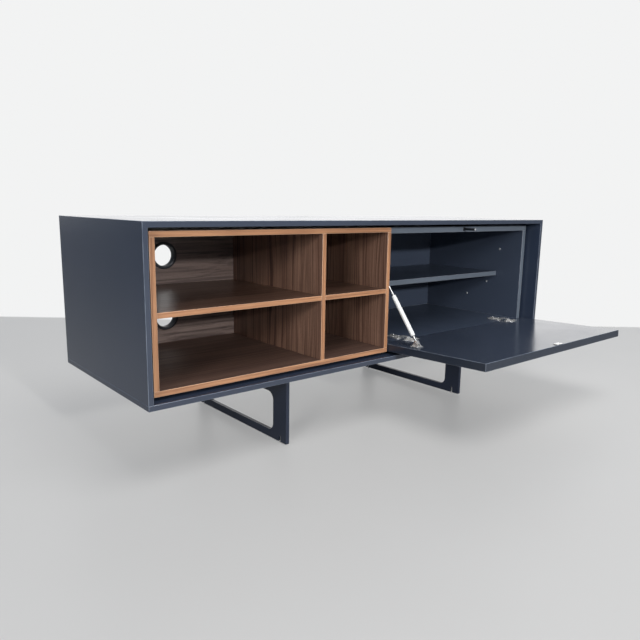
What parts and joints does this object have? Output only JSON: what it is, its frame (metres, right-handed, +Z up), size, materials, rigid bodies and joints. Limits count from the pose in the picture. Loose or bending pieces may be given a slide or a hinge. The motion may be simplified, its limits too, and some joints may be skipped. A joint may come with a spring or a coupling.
{
  "type": "media cabinet",
  "caption": "Low media cabinet on two flat loop legs, with an open walnut module beside a compartment closed by a drop-down flap on concealed hinges and a gas stay.",
  "frame": {"origin": "middle of the footprint at floor level, with the flap open as it is at rest", "axes": "+X along the cabinet's width towards the flap's side, +Y from front to back, +Z up"},
  "size_m": [1.5, 0.8322, 0.581],
  "materials": {
    "casing_lacquer": "satin slate-blue lacquer on fibreboard",
    "carcass_lacquer": "matt dark slate-blue lacquer on board",
    "spacer_board": "matt near-black board",
    "walnut": "oiled walnut veneer on board",
    "walnut_back_panel": "matt walnut veneer on thin board",
    "leg_paint": "satin slate-blue powder coat on steel plate",
    "nickel": "bright nickel plating",
    "polished_steel": "polished",
    "white_enamel": "gloss white enamel",
    "dark_plastic": "matt",
    "grey_plastic": "matt"
  },
  "bodies": {
    "cabinet": {"casing_top": "casing_lacquer", "casing_bottom": "casing_lacquer", "casing_left_side": "casing_lacquer", "casing_right_side": "casing_lacquer", "walnut_spacer_front": "spacer_board", "walnut_spacer_rear": "spacer_board", "carcass_spacer_front": "spacer_board", "carcass_spacer_rear": "spacer_board", "leg_left": "leg_paint", "leg_right": "leg_paint", "walnut_top": "walnut", "walnut_bottom": "walnut", "walnut_left_side": "walnut", "walnut_right_side": "walnut", "walnut_divider": "walnut", "walnut_shelf_left": "walnut", "walnut_shelf_right": "walnut", "walnut_back": "walnut_back_panel", "cable_outlet_upper": "dark_plastic", "cable_outlet_lower": "dark_plastic", "carcass_top": "carcass_lacquer", "carcass_bottom": "carcass_lacquer", "carcass_left_side": "carcass_lacquer", "carcass_right_side": "carcass_lacquer", "carcass_back": "carcass_lacquer", "carcass_shelf": "carcass_lacquer", "shelf_pin_left_front": "polished_steel", "shelf_pin_left_rear": "polished_steel", "shelf_pin_right_front": "polished_steel", "shelf_pin_right_rear": "polished_steel", "blanking_cap_1": "grey_plastic", "blanking_cap_2": "grey_plastic", "blanking_cap_3": "grey_plastic", "latch_sleeve": "dark_plastic", "hinge_arm_left": "nickel", "hinge_arm_right": "nickel", "hinge_plate_left": "nickel", "hinge_plate_right": "nickel", "stay_wall_bracket": "nickel"},
    "flap": {"flap_door": "casing_lacquer", "hinge_cup_left": "nickel", "hinge_cup_right": "nickel", "latch_strike_plate": "nickel", "stay_flap_bracket": "nickel", "stay_lower_pin": "polished_steel"},
    "stay_tube": {"stay_tube": "white_enamel", "stay_tube_eye": "nickel"},
    "stay_rod": {"stay_rod": "polished_steel", "stay_rod_eye": "nickel", "stay_upper_pin": "polished_steel"},
    "latch_plunger": {"latch_plunger": "dark_plastic", "latch_magnet": "polished_steel"},
    "glide_left_front": {"glide_left_front": "nickel"},
    "glide_left_rear": {"glide_left_rear": "nickel"},
    "glide_right_front": {"glide_right_front": "nickel"},
    "glide_right_rear": {"glide_right_rear": "nickel"}
  },
  "joints": [
    {"name": "flap_hinge", "type": "hinge", "parent": "cabinet", "child": "flap", "pos_m": [0.365, -0.06891, 0.213], "axis": [-1, 0, 0], "range_deg": [0, 88]},
    {"name": "stay_swing", "type": "hinge", "parent": "flap", "child": "stay_tube", "pos_m": [0.031, -0.16105, 0.23923], "axis": [1, 0, 0], "range_deg": [0, 104.52]},
    {"name": "stay_slide", "type": "slide", "parent": "stay_tube", "child": "stay_rod", "axis": [0, -0.6149, -0.7886], "range_m": [0, 0.11625]},
    {"name": "latch_plunger_slide", "type": "slide", "parent": "cabinet", "child": "latch_plunger", "axis": [0, 1, 0], "range_m": [0, 0.04121]},
    {"name": "glide_left_front_screw", "type": "slide", "parent": "cabinet", "child": "glide_left_front", "axis": [0, 0, -1], "range_m": [0, 0.008]},
    {"name": "glide_left_rear_screw", "type": "slide", "parent": "cabinet", "child": "glide_left_rear", "axis": [0, 0, -1], "range_m": [0, 0.008]},
    {"name": "glide_right_front_screw", "type": "slide", "parent": "cabinet", "child": "glide_right_front", "axis": [0, 0, -1], "range_m": [0, 0.008]},
    {"name": "glide_right_rear_screw", "type": "slide", "parent": "cabinet", "child": "glide_right_rear", "axis": [0, 0, -1], "range_m": [0, 0.008]}
  ],
  "couplings": [
    {"joint": "stay_swing", "follows": "flap_hinge", "ratio": 1.1876},
    {"joint": "stay_slide", "follows": "flap_hinge", "m_per_rad": 0.07568},
    {"joint": "latch_plunger_slide", "follows": "flap_hinge", "m_per_rad": 0.026825}
  ]
}
